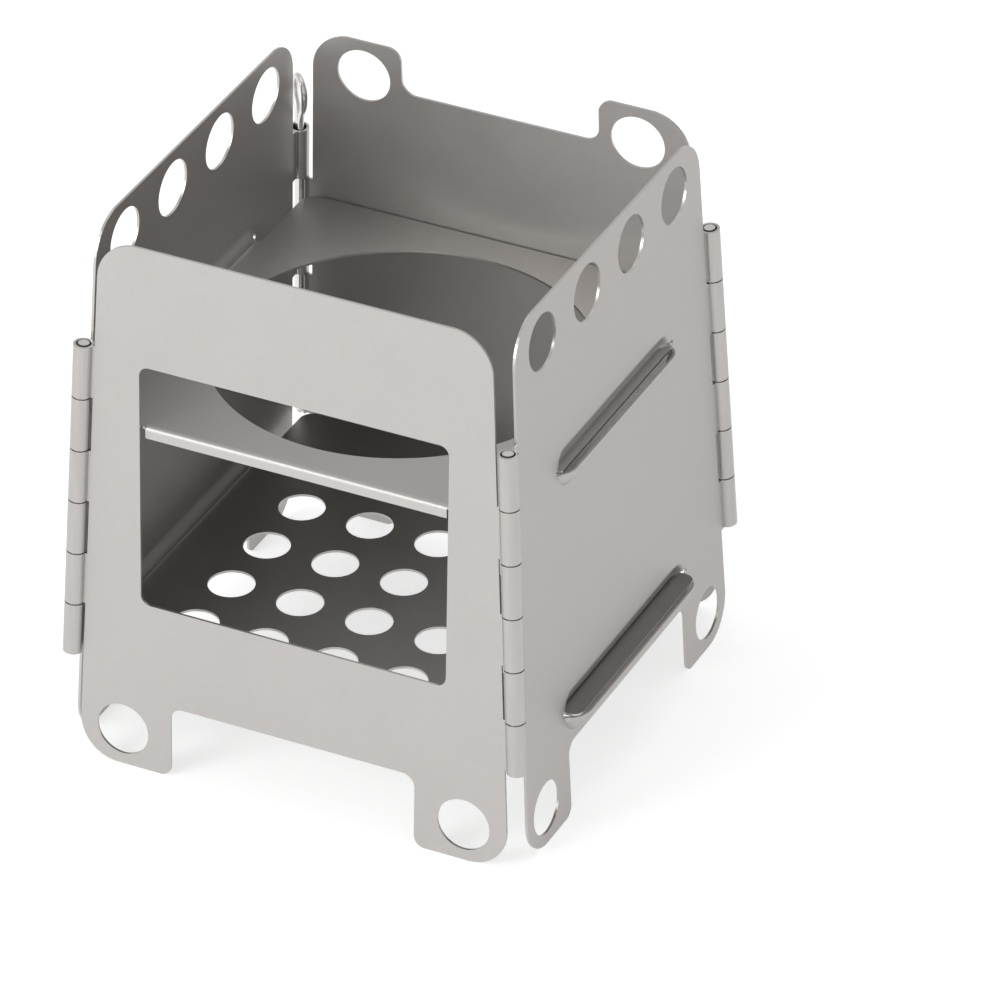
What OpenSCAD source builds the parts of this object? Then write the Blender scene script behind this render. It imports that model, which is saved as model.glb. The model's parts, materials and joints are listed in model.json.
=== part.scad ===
// Folding wood stove. Four leaning sheet walls turn on rolled eyes at the corners, and a burner
// shelf and a fire grate hang in pressed pockets of the two side walls.
// Millimetres, +Z up. The origin is on the ground in the middle of the box, with the front at -Y.

/* [Walls] */
// From the middle of the box to the middle of each wall's sheet, at the ground
base_half = 47.5; // [46:0.1:56]
// Height of the stove
stove_h = 112.5; // [108:0.5:130]
// Lean of each wall towards the middle, in degrees
lean = 2.64; // [1.5:0.01:3.2]
// Thickness of the walls' sheet
sheet_t = 0.5; // [0.4:0.05:0.6]
// From a hinge's axis to the front wall's side edge
front_edge_gap = 2.4; // [2.3:0.1:4]
// From a hinge's axis to a side wall's edge
side_edge_gap = 3.2; // [2.4:0.1:4]
// From a hinge's axis to the rear wall's side edge
rear_edge_gap = 3; // [2.4:0.1:4]
// Radius of the walls' top corners
corner_r = 8.4; // [4:0.1:10]

/* [Feet] */
// Width of a foot, from its hinge's line at the ground to the arch
foot_w = 21.9; // [20:0.1:26]
// Height of the arch, along the sheet
arch_h = 15.4; // [13:0.1:16]
// Radius of the arch's upper corners
arch_r = 2.6; // [1:0.1:5]
// Radius of a foot's outer corner
foot_r = 8; // [4:0.1:9]
// Radius of a foot's inner corner
heel_r = 2.4; // [1:0.1:4]
// Diameter of the hole in a foot
foot_hole_d = 10.8; // [6:0.1:12]
// From the arch to the middle of a foot's hole, as a share of the foot's width
foot_hole_share = 0.466; // [0.44:0.002:0.5]
// Height of a foot's hole, along the sheet
foot_hole_v = 7.7; // [7:0.1:8.5]

/* [Front window] */
// From a hinge's line at the ground to the window's side
window_side = 15.75; // [14.5:0.05:27]
// Height of the window, along the sheet
window_h = 51.2; // [30:0.1:54]
// Height of the window's sill, along the sheet
window_v = 36.6; // [34:0.1:40]
// Radius of the window's corners
window_r = 2; // [0.5:0.1:5]

/* [Top holes] */
// Diameter of the holes along the tops of the walls
top_hole_d = 11.2; // [6:0.1:12]
// From the top edge down to the side walls' holes
top_hole_drop = 8; // [7:0.1:12]
// From a hinge's axis to the outermost of the side walls' holes
top_hole_side = 14.5; // [12:0.1:18]

/* [Rear ears] */
// Width of an ear, from the hinge's axis at the top to the gap between the ears
ear_w = 21.6; // [20.5:0.1:26]
// Depth of that gap
ear_gap_d = 9.7; // [7:0.1:14]
// Radius of an ear's inner top corner
ear_r = 3; // [1:0.1:3.4]
// Radius of the gap's lower corners
ear_gap_r = 3; // [1:0.1:3.4]
// From the gap to the middle of an ear's hole, as a share of the ear's width
ear_hole_share = 0.374; // [0.35:0.002:0.42]
// From the top edge down to an ear's hole
ear_hole_drop = 7.7; // [7:0.1:9]

/* [Hinges] */
// Height of the hinges' lower ends, along the sheet
hinge_v = 22.1; // [20:0.1:26]
// Length of a hinge, along its axis
hinge_len = 67.6; // [50:0.1:72]
// Outer radius of a rolled eye
eye_r = 1.95; // [1.6:0.05:2.1]
// Gap between neighbouring eyes
eye_gap = 0.3; // [0.2:0.05:0.6]
// Slit that the roll of an eye leaves open
roll_slit = 0.14; // [0.1:0.02:0.3]
// Clearance of a pin in its eyes
pin_clear = 0.08; // [0.05:0.01:0.1]
// Chamfer at the ends of a pin
pin_chamfer = 0.3; // [0.1:0.05:0.6]

/* [Lock pin] */
// Space between the two legs of the wire
leg_space = 0.1; // [0.06:0.02:0.3]
// Width of the loop, between the middles of its two sides
loop_w = 5.8; // [4:0.1:8]
// Height of the loop over the top eye
loop_h = 11.7; // [9:0.1:16]
// Height of the neck, where the legs leave the eye
neck_h = 0.5; // [0.3:0.1:1]

/* [Pockets] */
// Height of the upper slits, along the sheet
shelf_v = 74.1; // [70:0.05:80]
// Height of the lower slits, along the sheet
grate_v = 22.1; // [21:0.05:26]
// Height of a slit
slit_h = 1.1; // [1:0.05:1.5]
// From a hinge's axis to the end of an upper slit
shelf_slit_end = 19.5; // [16:0.1:24]
// From a hinge's axis to the end of a lower slit
grate_slit_end = 19.9; // [17:0.1:26]
// Diameter of the relief holes at the ends of a slit
relief_d = 1.4; // [1.2:0.1:2]
// How far the sheet under an upper slit is pressed outwards
shelf_bulge = 2.1; // [1.6:0.05:2.6]
// Radius of that pressing
shelf_press_r = 4.4; // [3.5:0.1:6]
// How far the sheet under a lower slit is pressed outwards
grate_bulge = 3.5; // [2:0.05:3.6]
// Radius of that pressing
grate_press_r = 4.6; // [4.2:0.1:5]
// How far the sheet over a slit is pressed inwards
ease_bulge = 1.4; // [0.8:0.05:1.6]
// Width of the slope that brings it back to the wall
ease_w = 3.4; // [2.8:0.1:4.4]

/* [Plates] */
// Thickness of the shelf and the grate
plate_t = 0.5; // [0.4:0.05:0.6]
// Gap under a plate's tabs
seat_gap = 0.05; // [0.03:0.01:0.1]
// How far the shelf's tabs run past the middle of the wall's sheet
shelf_tab = 0.75; // [0.6:0.05:1]
// How far the grate's tabs run past the middle of the wall's sheet
grate_tab = 2.9; // [2.4:0.05:3]
// From the end of a slit to the end of its tab
tab_room = 0.75; // [0.7:0.01:0.8]
// Radius of the shelf's tabs' corners
shelf_tab_r = 0.3; // [0.1:0.05:0.4]
// Radius of the grate's tabs' corners
grate_tab_r = 2; // [1.6:0.1:2.3]
// Radius where a tab meets its plate
root_r = 0.3; // [0.1:0.05:0.4]
// Gap between a plate's sides and the side walls
plate_side_gap = 1.8; // [1.5:0.1:3]
// Gap between a plate and the front and rear walls
plate_end_gap = 0.3; // [0.2:0.05:2]
// Radius of a plate's corners
plate_r = 3; // [2:0.1:5]
// Width of the shelf beside the burner's hole
shelf_rim = 5.53; // [4.5:0.01:16]
// Width of the shelf's front flange
flange_w = 62; // [40:0.5:64]
// Drop of the front flange under the shelf's top
flange_drop = 2.5; // [1.5:0.1:4]
// Inner bend radius of the flange
flange_r = 0.4; // [0.2:0.1:0.8]
// Diameter of the grate's holes
grate_hole_d = 9.2; // [5:0.1:11]
// Step between the grate's holes
grate_pitch = 14.7; // [12:0.1:16]

/* [Hidden] */
$fn = 48;

sheet_colour = [0.80, 0.78, 0.76];
plate_colour = [0.66, 0.64, 0.62];
pin_colour = [0.86, 0.86, 0.85];

// Turns of the walls about the vertical, from the front wall
front_turn = 0;
right_turn = 90;
rear_turn = 180;
left_turn = 270;
left_side = -1;
right_side = 1;

// Each corner has six eyes. A wall owns every second one, counted here from the bottom.
eye_count = 6;
eyes_on_left = [1, 3, 5];
eyes_on_right = [0, 2, 4];
eye_pitch = hinge_len / eye_count;
eye_len = eye_pitch - eye_gap;
bore_r = eye_r - sheet_t;
pin_r = bore_r - pin_clear;
// The roll's slit lies on the inner side, this far round from the sheet, in degrees
slit_turn = 19;
// The rear wall's eyes at the lock pin are hooks, open towards the inside and the left wall, so
// that each wall can swing away from the standing pin. Their ends, in degrees about the axis.
hook_first = 152;
hook_last = 298;
hook_steps = 4;

top_hole_count = 4;
grate_hole_count = 5;
grate_middle = (grate_hole_count - 1) / 2;
arc_steps = 10;
ball_steps = 7;
slope_steps = 7;
bend_steps = 5;
crown_steps = 8;
wire_sides = 24;

wire_r = (bore_r - pin_clear - leg_space / 2) / 2;
leg_off = wire_r + leg_space / 2;
loop_turn = 45;
spread = loop_w / 2 - leg_off;
rise = loop_h - neck_h - loop_w / 2 - wire_r;
spread_turn = 2 * atan(spread / rise);
spread_r = rise / sin(spread_turn) / 2;

// Cuts run over their solids by this much, and the walls' outlines run over the ground and the top
cut_over = sheet_t;
trim = sheet_t / 10;
far = 2 * base_half;
wall_v = stove_h / cos(lean);
// In its own plane, a wall's hinge axis leans by this angle from the sheet's middle line
axis_lean = atan(sin(lean));

// Half widths and places across the walls
arch_half = base_half - foot_w;
foot_hole_u = arch_half + foot_w * foot_hole_share;
window_half = base_half - window_side;
top_hole_pitch = 2 * (axis_u(wall_v - top_hole_drop) - top_hole_side) / (top_hole_count - 1);
ear_gap_half = axis_u(wall_v) - ear_w;
ear_hole_u = ear_gap_half + ear_w * ear_hole_share;
shelf_slit_half = axis_u(shelf_v) - shelf_slit_end;
grate_slit_half = axis_u(grate_v) - grate_slit_end;

shelf_z = pocket_level(shelf_v, shelf_tab) + seat_gap;
grate_z = pocket_level(grate_v, grate_tab) + seat_gap;
shelf_top = shelf_z + plate_t;
flange_back = plate_end(shelf_z) - plate_t - flange_r;
seat_r = plate_side(shelf_z) - shelf_rim;

function axis_u(v) = base_half - v * sin(lean);
function edge_u(v, gap) = axis_u(v) - gap;
// The height of a slit's lower edge, this far out from the sheet's middle
function pocket_level(v, out) = v * cos(lean) + out * sin(lean);
// From the box's middle to the middle of a wall's sheet, at a height
function wall_half(z) = base_half - z * tan(lean);
// From the box's middle to a plate's sides, and to its front and rear edges
function plate_side(z) = wall_half(z) - sheet_t / 2 - plate_side_gap;
function plate_end(z) = wall_half(z + plate_t) - sheet_t / 2 - plate_end_gap;

// Outline corners are [x, y, radius]. A corner with a radius becomes an arc.
function flat(p) = [p.x, p.y];
function corner_arc(a, b, c, r) =
    let (p = (a - b) / norm(a - b), q = (c - b) / norm(c - b), half = acos(p * q) / 2,
         middle = b + (p + q) / norm(p + q) * r / sin(half),
         start = b + p * r / tan(half) - middle, end = b + q * r / tan(half) - middle,
         first = atan2(start.y, start.x), sweep = sign(cross(start, end)) * (180 - 2 * half))
    [for (i = [0 : arc_steps])
        middle + r * [cos(first + sweep * i / arc_steps), sin(first + sweep * i / arc_steps)]];
function rounded(corners) =
    let (n = len(corners))
    [for (i = [0 : n - 1])
        let (before = flat(corners[(i + n - 1) % n]), after = flat(corners[(i + 1) % n]))
        each corners[i].z == 0 ? [flat(corners[i])]
            : corner_arc(before, flat(corners[i]), after, corners[i].z)];
function mirrored(corners) = [for (i = [len(corners) - 1 : -1 : 0])
    [-corners[i].x, corners[i].y, corners[i].z]];
function closed(half) = rounded(concat(half, mirrored(half)));

// The right half of a wall's outline, from the arch round the foot to the top
function wall_outline(gap) = [
    [arch_half, arch_h, arch_r],
    [arch_half, -trim, heel_r],
    [edge_u(-trim, gap), -trim, foot_r],
    [edge_u(wall_v + trim, gap), wall_v + trim, corner_r]];
function ear_outline() = [
    [ear_gap_half, wall_v + trim, ear_r],
    [ear_gap_half, wall_v - ear_gap_d, ear_gap_r]];

// Stands a shape made in a wall's own frame in its place: X to the right seen from outside,
// Z up the sheet and -Y outwards, with the sheet's middle at Y = 0
module on_wall(turn)
    rotate([0, 0, turn]) translate([0, -base_half, 0]) rotate([-lean, 0, 0]) children();

// Puts Z on a hinge's axis, from its lower end
module on_hinge(side)
    translate([side * axis_u(hinge_v), 0, hinge_v]) rotate([0, -side * axis_lean, 0]) children();

// Levels a wall's feet on the ground and its top edge at the stove's height
module levelled()
    difference() {
        children();
        translate([-far, -far, -far]) cube([2 * far, 2 * far, far]);
        translate([-far, -far, stove_h]) cube([2 * far, 2 * far, far]);
    }

module sheet(points)
    rotate([90, 0, 0]) linear_extrude(sheet_t, center = true) polygon(points);

module drill(u, v, d)
    translate([u, 0, v]) rotate([90, 0, 0]) cylinder(h = sheet_t + 2 * cut_over, d = d, center = true);

module foot_holes()
    for (side = [left_side, right_side]) drill(side * foot_hole_u, foot_hole_v, foot_hole_d);

module window()
    rotate([90, 0, 0]) linear_extrude(sheet_t + 2 * cut_over, center = true)
        polygon(closed([[window_half, window_v, window_r],
                        [window_half, window_v + window_h, window_r]]));

// The tab from a wall's edge to its eye, and the round that the eye is made of
module eye_blank(side, gap) {
    reach = gap + eye_r;
    cylinder(h = eye_len, r = eye_r);
    translate([side > 0 ? -reach : 0, -sheet_t / 2, 0]) cube([reach, sheet_t, eye_len]);
}

module eye_bore()
    translate([0, 0, -cut_over]) cylinder(h = eye_len + 2 * cut_over, r = bore_r);

module rolled_eye(side, gap)
    difference() {
        eye_blank(side, gap);
        eye_bore();
        rotate([0, 0, side > 0 ? 180 - slit_turn : slit_turn])
            translate([0, -roll_slit / 2, -cut_over])
                cube([eye_r + cut_over, roll_slit, eye_len + 2 * cut_over]);
    }

module hook_eye(side, gap) {
    open = 360 + hook_first - hook_last;
    difference() {
        eye_blank(side, gap);
        eye_bore();
        translate([0, 0, -cut_over]) linear_extrude(eye_len + 2 * cut_over)
            polygon(concat([[0, 0]], [for (i = [0 : hook_steps])
                let (turn = hook_last + open * i / hook_steps) 2 * eye_r * [cos(turn), sin(turn)]]));
    }
}

module eye_row(side, which)
    on_hinge(side) for (i = which) translate([0, 0, i * eye_pitch + eye_gap / 2]) children();

module eyes(side, gap)
    eye_row(side, side > 0 ? eyes_on_right : eyes_on_left) rolled_eye(side, gap);

// A round bar with ball ends along X, set back from the wall's middle. Only its part under
// Z = top is kept, from the outside to Y = depth.
module pressing(half, r, back, depth, top)
    intersection() {
        translate([0, back, 0]) rotate([0, 90, 0]) rotate_extrude()
            polygon([for (end = [-1, 1], i = [0 : ball_steps])
                let (turn = 90 * (end < 0 ? i : ball_steps - i) / ball_steps)
                [r * sin(turn), end * (half + r * cos(turn))]]);
        translate([-far, -far, -far]) cube([2 * far, far + depth, far + top]);
    }

// Half the length of the bar whose pressing ends with its slit
function bar_half(half, bulge, r) = half - sqrt(r * r - (r - bulge) * (r - bulge));
function bar_back(bulge, r) = r - bulge - sheet_t / 2;

// Sheet pressed out under Z = 0, and its hollow, which reaches through the wall into the slit
module pressed(half, bulge, r)
    pressing(bar_half(half, bulge, r), r, bar_back(bulge, r), 0, 0);
module hollow(half, bulge, r)
    pressing(bar_half(half, bulge, r), r - sheet_t, bar_back(bulge, r), far, slit_h / 2);

// The section of a soft swell of the sheet: X is the distance from the middle of its flat ridge, Y
// the height of its skin, closed at the height of its back
function swell(first, skin, back) = concat(
    [for (i = [first : slope_steps]) let (turn = 180 * max(0, abs(i) - 1) / (slope_steps - 1))
        [ease_w * i / slope_steps, skin + ease_bulge * (1 + cos(turn)) / 2]],
    [[ease_w, back], [first * ease_w / slope_steps, back]]);

// The swell's ridge runs along X and its skin faces -Y. The section is drawn along the slit and
// turned round at the slit's ends. Only its part under Z = top is kept.
module swelling(half, skin, back, top) {
    reach = half - ease_w;
    intersection() {
        union() {
            rotate([90, 0, 90]) linear_extrude(2 * reach, center = true)
                polygon([for (p = swell(-slope_steps, skin, back)) [-p.y, -p.x]]);
            for (side = [left_side, right_side]) translate([side * reach, 0, 0])
                rotate([90, 0, 0]) rotate_extrude() polygon(swell(0, skin, back));
        }
        translate([-far, -far, -far]) cube([2 * far, 2 * far, far + top]);
    }
}

module eased(half) swelling(half, sheet_t / 2, 0, 0);
module ease_hollow(half) swelling(half, -sheet_t / 2, -sheet_t / 2 - cut_over, slit_h / 2);

// A pocket is pressed out under a slit, and the sheet over the slit swells inwards
module under_slit(v) translate([0, 0, v]) children();
module over_slit(v) translate([0, 0, v + slit_h]) rotate([180, 0, 0]) children();

module slit(v, half) {
    translate([-half, -sheet_t - cut_over, v]) cube([2 * half, 2 * (sheet_t + cut_over), slit_h]);
    for (side = [left_side, right_side]) drill(side * half, v + slit_h / 2, relief_d);
}

module side_wall() {
    difference() {
        union() {
            sheet(closed(wall_outline(side_edge_gap)));
            under_slit(shelf_v) pressed(shelf_slit_half, shelf_bulge, shelf_press_r);
            over_slit(shelf_v) eased(shelf_slit_half);
            under_slit(grate_v) pressed(grate_slit_half, grate_bulge, grate_press_r);
            over_slit(grate_v) eased(grate_slit_half);
        }
        under_slit(shelf_v) hollow(shelf_slit_half, shelf_bulge, shelf_press_r);
        over_slit(shelf_v) ease_hollow(shelf_slit_half);
        under_slit(grate_v) hollow(grate_slit_half, grate_bulge, grate_press_r);
        over_slit(grate_v) ease_hollow(grate_slit_half);
        slit(shelf_v, shelf_slit_half);
        slit(grate_v, grate_slit_half);
        foot_holes();
        for (i = [0 : top_hole_count - 1])
            drill((i - (top_hole_count - 1) / 2) * top_hole_pitch, wall_v - top_hole_drop, top_hole_d);
    }
    eyes(left_side, side_edge_gap);
    eyes(right_side, side_edge_gap);
}

module front_panel()
    color(sheet_colour) levelled() on_wall(front_turn) {
        difference() {
            sheet(closed(wall_outline(front_edge_gap)));
            window();
            foot_holes();
        }
        eyes(left_side, front_edge_gap);
        eyes(right_side, front_edge_gap);
    }

module left_panel() color(sheet_colour) levelled() on_wall(left_turn) side_wall();
module right_panel() color(sheet_colour) levelled() on_wall(right_turn) side_wall();

module rear_panel()
    color(sheet_colour) levelled() on_wall(rear_turn) {
        difference() {
            sheet(closed(concat(wall_outline(rear_edge_gap), ear_outline())));
            foot_holes();
            for (side = [left_side, right_side])
                drill(side * ear_hole_u, wall_v - ear_hole_drop, top_hole_d);
        }
        eyes(left_side, rear_edge_gap);
        eye_row(right_side, eyes_on_right) hook_eye(right_side, rear_edge_gap);
    }

module hinge_pin()
    rotate_extrude() polygon([[0, 0], [pin_r - pin_chamfer, 0], [pin_r, pin_chamfer],
                              [pin_r, hinge_len - pin_chamfer],
                              [pin_r - pin_chamfer, hinge_len], [0, hinge_len]]);

module hinge_pin_front_left()
    color(pin_colour) on_wall(front_turn) on_hinge(left_side) hinge_pin();
module hinge_pin_front_right()
    color(pin_colour) on_wall(front_turn) on_hinge(right_side) hinge_pin();
module hinge_pin_rear_right()
    color(pin_colour) on_wall(right_turn) on_hinge(right_side) hinge_pin();

// The wire's middle line in the XZ plane: up one leg, out, over the top and down the other leg
function on_arc(x, z, r, turn) = [x + r * cos(turn), z + r * sin(turn)];
function half_wire() = let (neck = hinge_len + neck_h, top = neck + rise) concat(
    [[leg_off, 0], [leg_off, pin_chamfer]],
    [for (i = [0 : bend_steps])
        on_arc(leg_off + spread_r, neck, spread_r, 180 - spread_turn * i / bend_steps)],
    [for (i = [1 : bend_steps])
        on_arc(loop_w / 2 - spread_r, top, spread_r, spread_turn * (i / bend_steps - 1))],
    [for (i = [1 : crown_steps]) on_arc(0, top, loop_w / 2, 90 * i / crown_steps)]);
function wire_line() = let (half = half_wire())
    concat(half, [for (i = [len(half) - 2 : -1 : 0]) [-half[i].x, half[i].y]]);

// A ring of points round the wire, narrower at its two ends
function wire_ring(line, i) =
    let (last = len(line) - 1, step = line[min(i + 1, last)] - line[max(i - 1, 0)],
         along = step / norm(step), r = i == 0 || i == last ? wire_r - pin_chamfer : wire_r)
    [for (j = [0 : wire_sides - 1]) let (turn = 360 * j / wire_sides)
        [line[i].x + r * cos(turn) * along.y, r * sin(turn), line[i].y - r * cos(turn) * along.x]];

module wire() {
    line = wire_line();
    last = len(line) - 1;
    polyhedron(
        [for (i = [0 : last]) each wire_ring(line, i)],
        concat(
            [[for (j = [0 : wire_sides - 1]) j]],
            [for (i = [0 : last - 1], j = [0 : wire_sides - 1], corner = [0, 1])
                let (a = i * wire_sides + j, b = i * wire_sides + (j + 1) % wire_sides)
                corner == 0 ? [a, a + wire_sides, b + wire_sides] : [a, b + wire_sides, b]],
            [[for (j = [wire_sides - 1 : -1 : 0]) last * wire_sides + j]]));
}

module lock_pin()
    color(pin_colour) on_wall(left_turn) on_hinge(left_side) rotate([0, 0, loop_turn]) wire();

// A plate standing on its underside, with a tab at each side
module plate(z, tab, tab_half, tab_r) {
    side = plate_side(z);
    tip = wall_half(z) + tab;
    end = plate_end(z);
    translate([0, 0, z]) linear_extrude(plate_t)
        polygon(closed([[side, -end, plate_r], [side, -tab_half, root_r], [tip, -tab_half, tab_r],
                        [tip, tab_half, tab_r], [side, tab_half, root_r], [side, end, plate_r]]));
}

// The shelf's front edge, bent down. It runs a little under the shelf's own sheet.
module flange() {
    front = plate_end(shelf_z);
    rotate([90, 0, 90]) linear_extrude(flange_w, center = true)
        polygon(rounded([[-front, shelf_top, flange_r + plate_t],
                         [-front, shelf_top - flange_drop, 0],
                         [plate_t - front, shelf_top - flange_drop, 0],
                         [plate_t - front, shelf_z, flange_r],
                         [cut_over - flange_back, shelf_z, 0],
                         [cut_over - flange_back, shelf_top, 0]]));
}

module burner_shelf()
    color(plate_colour) {
        difference() {
            plate(shelf_z, shelf_tab, shelf_slit_half - tab_room, shelf_tab_r);
            translate([0, 0, shelf_z - cut_over]) cylinder(h = plate_t + 2 * cut_over, r = seat_r);
            translate([-flange_w / 2, -far, shelf_z - cut_over])
                cube([flange_w, far - flange_back, plate_t + 2 * cut_over]);
        }
        flange();
    }

module fire_grate()
    color(plate_colour) difference() {
        plate(grate_z, grate_tab, grate_slit_half - tab_room, grate_tab_r);
        for (i = [0 : grate_hole_count - 1], j = [0 : grate_hole_count - 1])
            translate([(i - grate_middle) * grate_pitch, (j - grate_middle) * grate_pitch,
                       grate_z - cut_over])
                cylinder(h = plate_t + 2 * cut_over, d = grate_hole_d);
    }

front_panel();
left_panel();
right_panel();
rear_panel();
hinge_pin_front_left();
hinge_pin_front_right();
hinge_pin_rear_right();
lock_pin();
burner_shelf();
fire_grate();
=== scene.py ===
import json
import math
from collections import Counter

import bmesh
import bpy
from mathutils import Matrix, Vector


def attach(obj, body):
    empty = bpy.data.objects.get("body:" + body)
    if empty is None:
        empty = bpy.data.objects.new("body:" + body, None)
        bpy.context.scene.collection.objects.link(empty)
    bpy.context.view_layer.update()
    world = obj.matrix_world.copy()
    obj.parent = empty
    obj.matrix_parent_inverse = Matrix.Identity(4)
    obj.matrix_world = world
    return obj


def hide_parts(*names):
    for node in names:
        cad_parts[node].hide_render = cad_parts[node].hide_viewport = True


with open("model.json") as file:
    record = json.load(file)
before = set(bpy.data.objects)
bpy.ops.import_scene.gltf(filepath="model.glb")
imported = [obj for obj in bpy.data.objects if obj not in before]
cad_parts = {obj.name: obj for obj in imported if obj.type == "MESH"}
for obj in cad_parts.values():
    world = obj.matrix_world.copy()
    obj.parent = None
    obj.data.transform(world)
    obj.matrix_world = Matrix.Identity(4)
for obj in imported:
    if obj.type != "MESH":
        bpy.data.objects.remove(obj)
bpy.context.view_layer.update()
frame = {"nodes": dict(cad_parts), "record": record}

mm = 0.001
print("frame loaded with", len(frame["nodes"]), "nodes")


# A socket in a material's node tree. Python's operators on it add Math nodes.
class Socket:
    def __init__(self, tree, out):
        self.tree = tree
        self.out = out

    # Adds any node: its settings first, then the values or links of its sockets
    def node(self, kind, settings=None, inputs=None, output=0):
        made = self.tree.nodes.new(kind)
        for name, value in (settings or {}).items():
            setattr(made, name, value)
        for name, value in (inputs or {}).items():
            if isinstance(value, Socket):
                self.tree.links.new(value.out, made.inputs[name])
            else:
                made.inputs[name].default_value = value
        return Socket(self.tree, made.outputs[output] if made.outputs else None)

    def maths(self, operation, first, second):
        return self.node("ShaderNodeMath", {"operation": operation}, {0: first, 1: second})

    def onlyPositive(self, sign):
        return self.maths("MAXIMUM", self * sign, 0.0)

    def __add__(self, other):
        return self.maths("ADD", self, other)

    def __sub__(self, other):
        return self.maths("SUBTRACT", self, other)

    def __rsub__(self, other):
        return self.maths("SUBTRACT", other, self)

    def __mul__(self, other):
        return self.maths("MULTIPLY", self, other)

    __radd__ = __add__
    __rmul__ = __mul__


def emptyMaterial(name):
    material = bpy.data.materials.new(name)
    material.use_nodes = True
    material.node_tree.nodes.clear()
    return material, Socket(material.node_tree, None)


# Titanium finishes. Grain is how much the fine grain changes the tone, and stretch draws it
# out along the height, as rolling does.
sheetFinish = {
    "wall": {"colour": (0.560, 0.540, 0.522), "metal": 0.82, "roughness": 0.47, "grain": 0.10},
    "shelf": {"colour": (0.510, 0.492, 0.475), "metal": 0.84, "roughness": 0.46, "grain": 0.10},
    # the grate's darker tone is painted shade, for its place low inside the firebox
    "grate": {"colour": (0.330, 0.318, 0.308), "metal": 0.96, "roughness": 0.44, "grain": 0.10},
    # the bare cut edges' own brighter finish, also put on the shelf's bent front edge as a painted
    # highlight
    "cutEdgeAndFlangeHighlight": {"colour": (0.600, 0.582, 0.564), "metal": 0.96, "roughness": 0.36, "grain": 0.03},
    "eye": {"colour": (0.540, 0.523, 0.506), "metal": 0.90, "roughness": 0.35, "grain": 0.22,
            "stretch": 0.06},
    "wire": {"colour": (0.780, 0.770, 0.755), "metal": 1.0, "roughness": 0.26, "grain": 0.02},
    # painted shade: a near-black finish put on the pins' chamfers for the shadowed gap round each
    # pin
    "gap": {"colour": (0.050, 0.047, 0.045), "metal": 0.50, "roughness": 0.60, "grain": 0.02},
}
blasting = {
    "grain": {"size": 1.05 * mm, "detail": 3, "roughness": 0.65},
    "mottle": {"size": 14 * mm, "detail": 4, "roughness": 0.6},
    "noiseMean": 0.5,
    "mottleTone": 0.07,     # how much the mottling changes the tone
    "mottleGloss": 0.12,    # how much the mottling changes the roughness
    "grainGloss": 0.10,     # how much the grain changes the roughness
    "bumpDepth": 0.02 * mm,
    "bumpPerGrain": 8,      # a finish's grain times this is the strength of its bumps
}


def noiseOver(place, kind):
    return place.node("ShaderNodeTexNoise", inputs={
        "Vector": place, "Scale": 1 / blasting[kind]["size"],
        "Detail": blasting[kind]["detail"], "Roughness": blasting[kind]["roughness"]})


def blastedTitanium(name, finish):
    material, start = emptyMaterial(name)
    place = start.node("ShaderNodeTexCoord", output="Object")
    drawnOut = start.node("ShaderNodeVectorMath", {"operation": "MULTIPLY"},
                          {0: place, 1: (1, 1, finish.get("stretch", 1))})
    grain = noiseOver(drawnOut, "grain")
    mottle = noiseOver(place, "mottle")
    grainSwing = grain - blasting["noiseMean"]
    mottleSwing = mottle - blasting["noiseMean"]
    tone = 1 + mottleSwing * blasting["mottleTone"] + grainSwing * finish["grain"]
    gloss = mottleSwing * blasting["mottleGloss"] + grainSwing * blasting["grainGloss"]
    colour = start.node("ShaderNodeVectorMath", {"operation": "SCALE"},
                        {0: finish["colour"], "Scale": tone})
    height = start.node("ShaderNodeBump", inputs={
        "Height": grain, "Distance": blasting["bumpDepth"],
        "Strength": min(1, finish["grain"] * blasting["bumpPerGrain"])})
    shader = start.node("ShaderNodeBsdfPrincipled", inputs={
        "Base Color": colour, "Metallic": finish["metal"], "Normal": height,
        "Roughness": finish["roughness"] + gloss})
    start.node("ShaderNodeOutputMaterial", inputs={"Surface": shader})
    return material


finishes = {name: blastedTitanium("titanium_" + name, values)
            for name, values in sheetFinish.items()}
print("finishes made:", ", ".join(finishes))

# The CAD nodes get finishes by face, smooth rolls and softly broken cut edges. A share is
# the part of a face's normal that lies along the sheet's own normal, or along an axis.
dressing = {
    "sharpAngle": math.radians(32),
    "edgeBreak": 0.05 * mm,
    "edgeBreakSteps": 2,
    "flatShare": 0.99999,    # a face with more than this along the sheet's normal is flat sheet,
    "edgeShare": 0.35,       # and one with less than this is a cut edge
    "endShare": 0.9,         # an eye's end faces look up or down by more than this
    "eyeReach": 2.15 * mm,   # faces this near a hinge's axis belong to its eyes
    "edgeHeight": 0.8 * mm,  # a level plate's cut edges are lower than this
    "chamferLow": 0.3,       # a pin's chamfers look up or down by shares between these two, and get painted shade, as dark as the shadowed gap round a pin
    "chamferHigh": 0.95,     # are as dark as the gap round a pin
}
mainFinishes = {"burner_shelf": "shelf", "fire_grate": "grate"}
joints = {joint["name"]: joint for joint in frame["record"]["behaviour"]["joints"]}


def hingeLine(name):
    joint = joints[name]
    axis = Vector(joint["axis"]).normalized()
    return Vector(joint["pos_m"]), axis if axis.z > 0 else -axis


hingeLines = [hingeLine(name) for name in joints]
leftAxis = hingeLine("left_hinge")[1]
leanSlope = leftAxis.x / leftAxis.z


def axisDistance(point):
    return min(((point - place) - (point - place).dot(axis) * axis).length
               for place, axis in hingeLines)


def wallNormal(x, y):
    return Vector((x, y, leanSlope)).normalized()


sheetNormals = {
    "front_panel": wallNormal(0, -1), "rear_panel": wallNormal(0, 1),
    "left_panel": wallNormal(-1, 0), "right_panel": wallNormal(1, 0),
    "burner_shelf": Vector((0, 0, 1)), "fire_grate": Vector((0, 0, 1)),
}


def giveFinishes(mesh, names):
    mesh.materials.clear()
    for name in names:
        mesh.materials.append(finishes[name])


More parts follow.
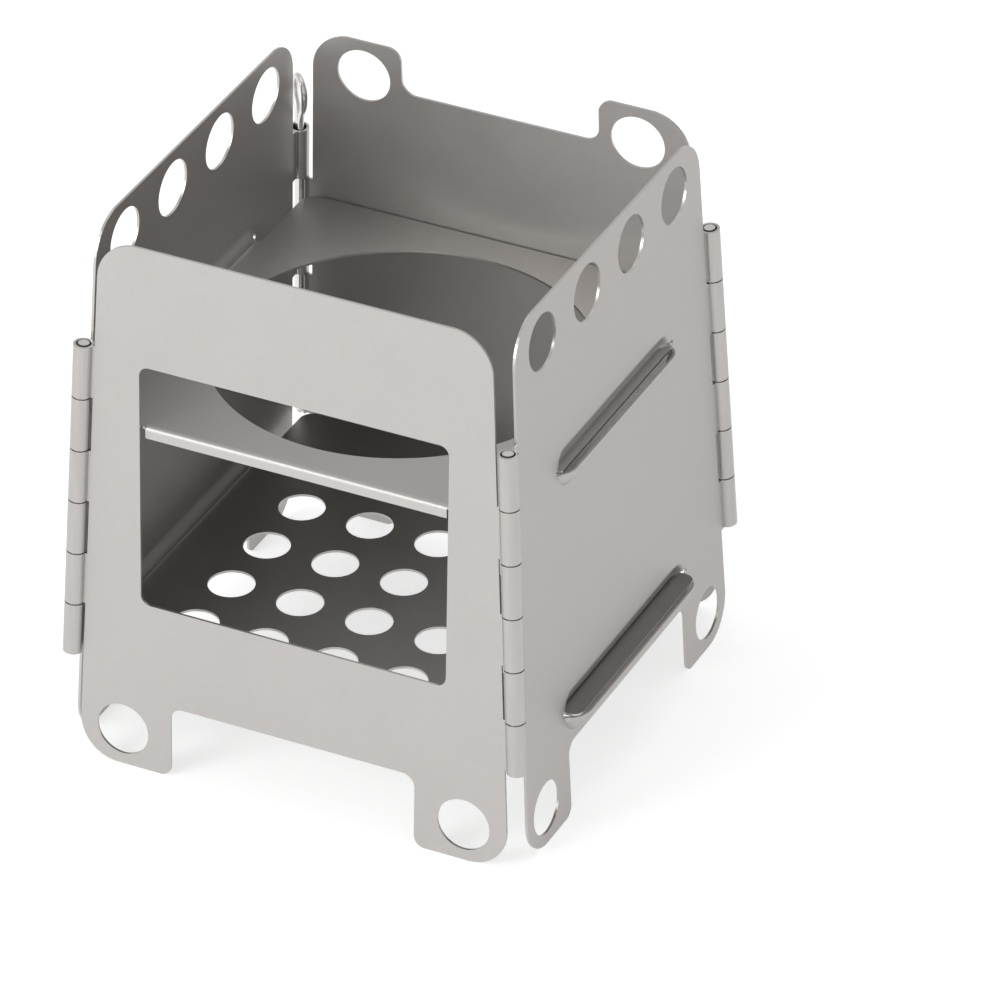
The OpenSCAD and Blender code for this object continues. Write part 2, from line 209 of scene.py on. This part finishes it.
def dressSheet(node, mainFinish):
    mesh = frame["nodes"][node].data
    used = [mainFinish, "cutEdgeAndFlangeHighlight", "eye"]
    giveFinishes(mesh, used)
    outward = sheetNormals[node]
    isWall = node.endswith("panel")
    for face in mesh.polygons:
        heights = [mesh.vertices[i].co.z for i in face.vertices]
        isTall = max(heights) - min(heights) > dressing["edgeHeight"]
        isEdge = abs(face.normal.dot(outward)) < dressing["edgeShare"]
        looksForward = face.normal.y < -dressing["edgeShare"]
        if isWall and axisDistance(face.center) < dressing["eyeReach"]:
            finish = "cutEdgeAndFlangeHighlight" if abs(face.normal.z) > dressing["endShare"] else "eye"
        # a plate's tall faces that look forward, the shelf's bent front edge, get the brighter edge
        # finish as a painted highlight
        elif isEdge and (isWall or not isTall or looksForward):
            finish = "cutEdgeAndFlangeHighlight"
        else:
            finish = mainFinish
        face.material_index = used.index(finish)


# Pins get the wire finish, and their end chamfers get painted shade for the shadowed gap round each
# pin
def dressPin(piece):
    used = ["wire", "gap"]
    giveFinishes(piece.data, used)
    for face in piece.data.polygons:
        isChamfer = dressing["chamferLow"] < abs(face.normal.z) < dressing["chamferHigh"]
        face.material_index = used.index("gap" if isChamfer else "wire")


# Marks the edges where flat sheet starts to bend, so that the flat faces stay flat in the light
def keepFlat(mesh, outward):
    flatSides = Counter()
    for face in mesh.polygons:
        if abs(face.normal.dot(outward)) > dressing["flatShare"]:
            flatSides.update(face.edge_keys)
    for edge in mesh.edges:
        if flatSides[edge.key] == 1:
            edge.use_edge_sharp = True


def smoothAndBreak(piece, outward=None):
    piece.data.shade_smooth()
    piece.data.set_sharp_from_angle(angle=dressing["sharpAngle"])
    if outward:
        keepFlat(piece.data, outward)
    bevel = piece.modifiers.new("edgeBreak", "BEVEL")
    bevel.width = dressing["edgeBreak"]
    bevel.segments = dressing["edgeBreakSteps"]
    bevel.limit_method = "ANGLE"
    bevel.angle_limit = dressing["sharpAngle"]
    bevel.harden_normals = True


for node in sheetNormals:
    dressSheet(node, mainFinishes.get(node, "wall"))
    smoothAndBreak(frame["nodes"][node], sheetNormals[node])
for node, piece in frame["nodes"].items():
    if "pin" in node:
        dressPin(piece)
        smoothAndBreak(piece)
print("CAD nodes dressed")

# The lock pin is one smooth wire that stands in for the faceted solid. It is drawn upright,
# as x and z from its tips' height, and then leant into the rear left corner.
lockWire = {
    "wireRadius": 0.66 * mm,
    "legSpread": 0.71 * mm,    # from the hinge line to the middle of each leg
    "loopHalf": 2.9 * mm,
    "loopTop": 11.7 * mm,      # over the top eye
    "neck": 0.5 * mm,          # from the top eye to where the legs bend out
    "hingeLow": 22.1 * mm,     # from the ground to the lowest eye, along the sheet
    "hingeLength": 67.6 * mm,
    "tipLength": 0.35 * mm,    # the legs narrow over this length at their tips,
    "tipShare": 0.62,          # to this share of the wire
    "sharpAngle": math.radians(50),
    "bendSteps": 14,
    "roundSteps": 24,
}


def lockWireLine():
    w = lockWire
    neck = w["hingeLength"] + w["neck"]
    rise = w["loopTop"] - w["neck"] - w["loopHalf"] - w["wireRadius"]
    spread = w["loopHalf"] - w["legSpread"]
    turn = 2 * math.atan(spread / rise)
    radius = rise / math.sin(turn) / 2
    line = [(w["legSpread"], 0.0), (w["legSpread"], w["tipLength"]), (w["legSpread"], neck / 2)]
    for i in range(w["bendSteps"] + 1):
        a = turn * i / w["bendSteps"]
        line.append((w["legSpread"] + radius * (1 - math.cos(a)), neck + radius * math.sin(a)))
    for i in range(1, w["bendSteps"] + 1):
        a = turn * (1 - i / w["bendSteps"])
        line.append((w["loopHalf"] - radius * (1 - math.cos(a)),
                     neck + rise - radius * math.sin(a)))
    for i in range(1, w["bendSteps"] + 1):
        a = math.pi / 2 * i / w["bendSteps"]
        line.append((w["loopHalf"] * math.cos(a), neck + rise + w["loopHalf"] * math.sin(a)))
    return line + [(-x, z) for x, z in reversed(line[:-1])]


def wirePiece(name, line):
    sides = lockWire["roundSteps"]
    shape = bmesh.new()
    rings = []
    last = len(line) - 1
    for i, (x, z) in enumerate(line):
        ahead = Vector(line[min(i + 1, last)]) - Vector(line[max(i - 1, 0)])
        ahead.normalize()
        size = lockWire["wireRadius"] * (lockWire["tipShare"] if i in (0, last) else 1)
        rings.append([shape.verts.new((
            x + size * math.cos(a) * ahead.y, size * math.sin(a), z - size * math.cos(a) * ahead.x))
            for a in (2 * math.pi * j / sides for j in range(sides))])
    for low, high in zip(rings, rings[1:]):
        for j in range(sides):
            k = (j + 1) % sides
            shape.faces.new((low[j], low[k], high[k], high[j]))
    shape.faces.new(list(reversed(rings[0])))
    shape.faces.new(rings[-1])
    bmesh.ops.recalc_face_normals(shape, faces=shape.faces)
    mesh = bpy.data.meshes.new(name)
    shape.to_mesh(mesh)
    shape.free()
    mesh.shade_smooth()
    mesh.set_sharp_from_angle(angle=lockWire["sharpAngle"])
    piece = bpy.data.objects.new(name, mesh)
    bpy.context.scene.collection.objects.link(piece)
    return piece


# The legs lie side by side across the corner's diagonal, on the slide's axis
def lockWirePlace():
    corner, axis = hingeLine("lock_slide")
    diagonal = Vector((-1, 1, 0))
    across = (diagonal - diagonal.dot(axis) * axis).normalized()
    lowest = lockWire["hingeLow"] * math.cos(math.atan(leanSlope))
    turnIn = Matrix((across, axis.cross(across), axis)).transposed().to_4x4()
    return Matrix.Translation(corner + axis * (lowest / axis.z)) @ turnIn


lockPiece = wirePiece("lock_wire", lockWireLine())
lockPiece.data.transform(lockWirePlace())
lockPiece.data.materials.append(finishes["wire"])
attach(lockPiece, "lock")
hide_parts("lock_pin")
print("lock wire made")

# Stage: a white floor with a soft contact shadow, a white world and two soft lamps
studio = {
    "floorHalf": 4.0,
    "floorDrop": 0.02 * mm,
    "floorShade": 0.75,
    "floorGlow": {"seen": 0.63, "mirrored": 0.53},  # to the camera, and in reflections
    "ambient": 0.59,        # how strongly the world lights rough surfaces
    "zenith": 0.58,         # what a reflection sees straight overhead, against 1 at the horizon
    "rightDim": 0.40,       # how much darker the sky is to the right,
    "frontGain": 0.30,      # and how much brighter in front
    "lamps": [
        {"name": "keyLamp", "place": (-0.95, -1.55, 0.78), "size": 1.0, "power": 15.0},
        {"name": "rearLamp", "place": (-0.10, 0.40, 1.60), "size": 1.2, "power": 3.0},
    ],
    "aim": (0, 0, 50 * mm),
}


# 1 for rays that the camera sends out, also through glass, and 1 for mirrored ones
def rayKinds(start):
    camera = start.node("ShaderNodeLightPath", output="Is Camera Ray")
    through = start.node("ShaderNodeLightPath", output="Is Transmission Ray")
    glossy = start.node("ShaderNodeLightPath", output="Is Glossy Ray")
    seen = start.maths("MINIMUM", camera + through, 1.0)
    return seen, (1 - seen) * glossy


def layFloor():
    bpy.ops.mesh.primitive_plane_add(size=2 * studio["floorHalf"],
                                     location=(0, 0, -studio["floorDrop"]))
    floor = bpy.context.object
    floor.name = "floor"
    material, start = emptyMaterial("floor_white")
    shade = studio["floorShade"]
    paint = start.node("ShaderNodeBsdfDiffuse", inputs={"Color": (shade, shade, shade, 1)})
    seen, mirrored = rayKinds(start)
    strength = seen * studio["floorGlow"]["seen"] + mirrored * studio["floorGlow"]["mirrored"]
    glow = start.node("ShaderNodeEmission", inputs={"Strength": strength})
    both = start.node("ShaderNodeAddShader", inputs={0: paint, 1: glow})
    start.node("ShaderNodeOutputMaterial", inputs={"Surface": both})
    floor.data.materials.append(material)


# White where the camera sees it, and shaded for reflections and for the light that it gives
def makeWorld():
    world = bpy.data.worlds.new("studio")
    bpy.context.scene.world = world
    world.use_nodes = True
    world.node_tree.nodes.clear()
    start = Socket(world.node_tree, None)
    seen, mirrored = rayKinds(start)
    place = start.node("ShaderNodeTexCoord", output="Generated")
    overhead, right, front = (
        start.node("ShaderNodeSeparateXYZ", inputs={"Vector": place}, output=axis).onlyPositive(sign)
        for axis, sign in (("Z", 1), ("X", 1), ("Y", -1)))
    tilt = 1 - right * studio["rightDim"] + front * studio["frontGain"]
    reflection = 1 - overhead * (1 - studio["zenith"])
    strength = seen + (mirrored * reflection + (1 - seen - mirrored) * studio["ambient"]) * tilt
    sky = start.node("ShaderNodeBackground", inputs={"Strength": strength})
    start.node("ShaderNodeOutputWorld", inputs={"Surface": sky})


def placeLamp(lamp):
    light = bpy.data.lights.new(lamp["name"], "AREA")
    light.size = lamp["size"]
    light.energy = lamp["power"]
    placed = bpy.data.objects.new(lamp["name"], light)
    placed.location = lamp["place"]
    aim = Vector(studio["aim"]) - placed.location
    placed.rotation_euler = aim.to_track_quat("-Z", "Y").to_euler()
    bpy.context.scene.collection.objects.link(placed)


layFloor()
makeWorld()
for lamp in studio["lamps"]:
    placeLamp(lamp)
print("stage and lamps set")

# The camera stands where the photograph was taken from, in metres and radians
view = {
    "place": (0.566813, -1.114092, 0.862686),
    "turn": (0.989443, 0.003786, 0.453450),
    "lens": 284.355,
    "sensor": 36.0,
    "reach": 20.0,
}


def placeCamera():
    eye = bpy.data.cameras.new("photoCamera")
    eye.lens = view["lens"]
    eye.sensor_width = view["sensor"]
    eye.clip_end = view["reach"]
    camera = bpy.data.objects.new("photoCamera", eye)
    camera.location = view["place"]
    camera.rotation_euler = view["turn"]
    bpy.context.scene.collection.objects.link(camera)
    bpy.context.scene.camera = camera
    bpy.context.scene.view_settings.view_transform = "Standard"


placeCamera()
print("camera set")
